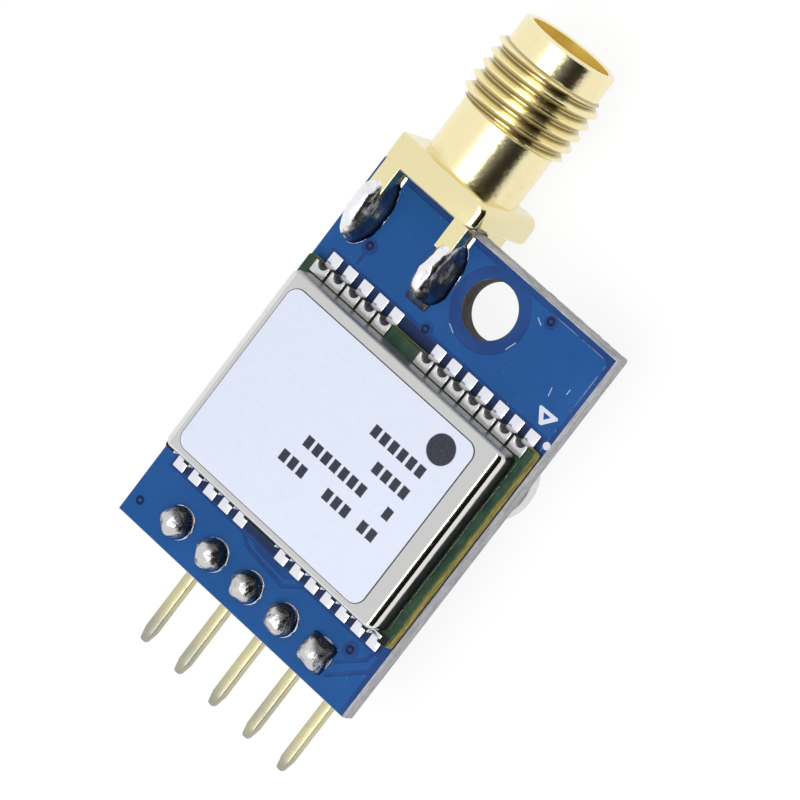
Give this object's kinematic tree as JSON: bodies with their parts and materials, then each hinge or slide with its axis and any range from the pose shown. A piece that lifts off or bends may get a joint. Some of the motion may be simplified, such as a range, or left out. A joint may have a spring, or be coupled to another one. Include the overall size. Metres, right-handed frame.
{
  "type": "gps module",
  "caption": "Small satellite receiver board with a shielded receiver, a threaded antenna jack at one end and a bent pin header at the other.",
  "frame": {"origin": "centre of the module's box, on the plane of its lowest edges, which it lies on", "axes": "+Z away from the board's front face, +Y from the header end to the antenna end, +X along the header"},
  "size_m": [0.0164, 0.0378, 0.0082],
  "materials": {
    "board_blue": "glossy blue solder mask over glass-fibre board",
    "board_green": "glossy dark green solder mask",
    "tin": "bright tin plating",
    "solder": "shiny solder with dark flux",
    "can_metal": "satin plated sheet",
    "label": "matt white label",
    "chip_black": "matt black moulding",
    "lid_metal": "satin metal lid",
    "ceramic_tan": "tan ceramic",
    "ceramic_grey": "dark grey ferrite",
    "gold": "bright gold plating",
    "pin_gold": "thin gold plating",
    "insulator_white": "waxy white plastic",
    "block_black": "moulded black plastic",
    "cell_metal": "satin steel",
    "lamp_white": "white board",
    "lamp_clear": "milky clear resin"
  },
  "bodies": {
    "root": {"carrier_board": "board_blue", "front_pads": "tin", "back_pads": "tin", "receiver_board": "board_green", "edge_terminals": "tin", "notch_solder": "solder", "shield_can": "can_metal", "can_label": "label", "receiver_chip": "chip_black", "oscillator": "lid_metal", "band_filter": "ceramic_tan", "clock_crystal": "lid_metal", "module_passives": "ceramic_tan", "jack_body": "gold", "jack_insulator": "insulator_white", "jack_contact": "gold", "leg_solder_front_left": "solder", "leg_solder_front_right": "solder", "leg_solder_back_left": "solder", "leg_solder_back_right": "solder", "tail_solder": "solder", "header_block": "block_black", "backup_cell": "cell_metal", "cell_tab_cap": "cell_metal", "cell_tab_case": "cell_metal", "regulator_body": "chip_black", "regulator_leads": "tin", "capacitor_bodies": "ceramic_tan", "capacitor_ends": "tin", "lamp_resistor": "chip_black", "lamp_resistor_ends": "tin", "feed_coil": "ceramic_grey", "feed_coil_ends": "tin", "lamp_base": "lamp_white", "lamp_lens": "lamp_clear", "lamp_ends": "pin_gold", "cell_diode": "chip_black", "cell_diode_leads": "tin", "header_pin_1": "pin_gold", "header_solder_1": "solder", "header_pin_2": "pin_gold", "header_solder_2": "solder", "header_pin_3": "pin_gold", "header_solder_3": "solder", "header_pin_4": "pin_gold", "header_solder_4": "solder", "header_pin_5": "pin_gold", "header_solder_5": "solder"}
  },
  "joints": []
}
